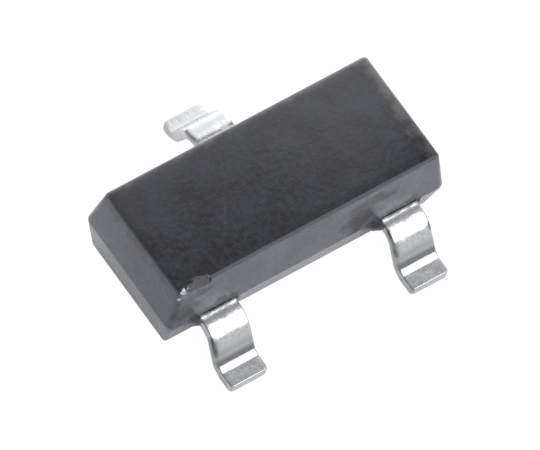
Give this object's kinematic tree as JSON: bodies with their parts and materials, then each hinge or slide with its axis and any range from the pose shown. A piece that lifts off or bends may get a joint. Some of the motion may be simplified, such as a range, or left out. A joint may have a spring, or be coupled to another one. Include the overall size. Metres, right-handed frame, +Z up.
{
  "type": "sot-23 transistor",
  "caption": "Surface-mount transistor: a drafted epoxy body on gull-wing leads that solder flat to a circuit board, with a wire-bonded chip sealed inside.",
  "frame": {"origin": "on the board plane under the middle of the package, where its bounding box is centred", "axes": "+X along the body's length, -Y towards the side with two leads, +Z up from the board"},
  "size_m": [0.0028, 0.0024, 0.0009],
  "materials": {
    "moulding_compound": "fine matte mould texture",
    "tin_plated_lead": "matte tin plating on copper alloy",
    "silver_adhesive": "cured silver-filled adhesive",
    "silicon": "polished, passivated",
    "bond_wire": "drawn gold"
  },
  "bodies": {
    "root": {"moulded_body": "moulding_compound", "base_lead": "tin_plated_lead", "emitter_lead": "tin_plated_lead", "collector_lead": "tin_plated_lead", "die_attach": "silver_adhesive", "die": "silicon", "base_wire": "bond_wire", "emitter_wire": "bond_wire"}
  },
  "joints": []
}
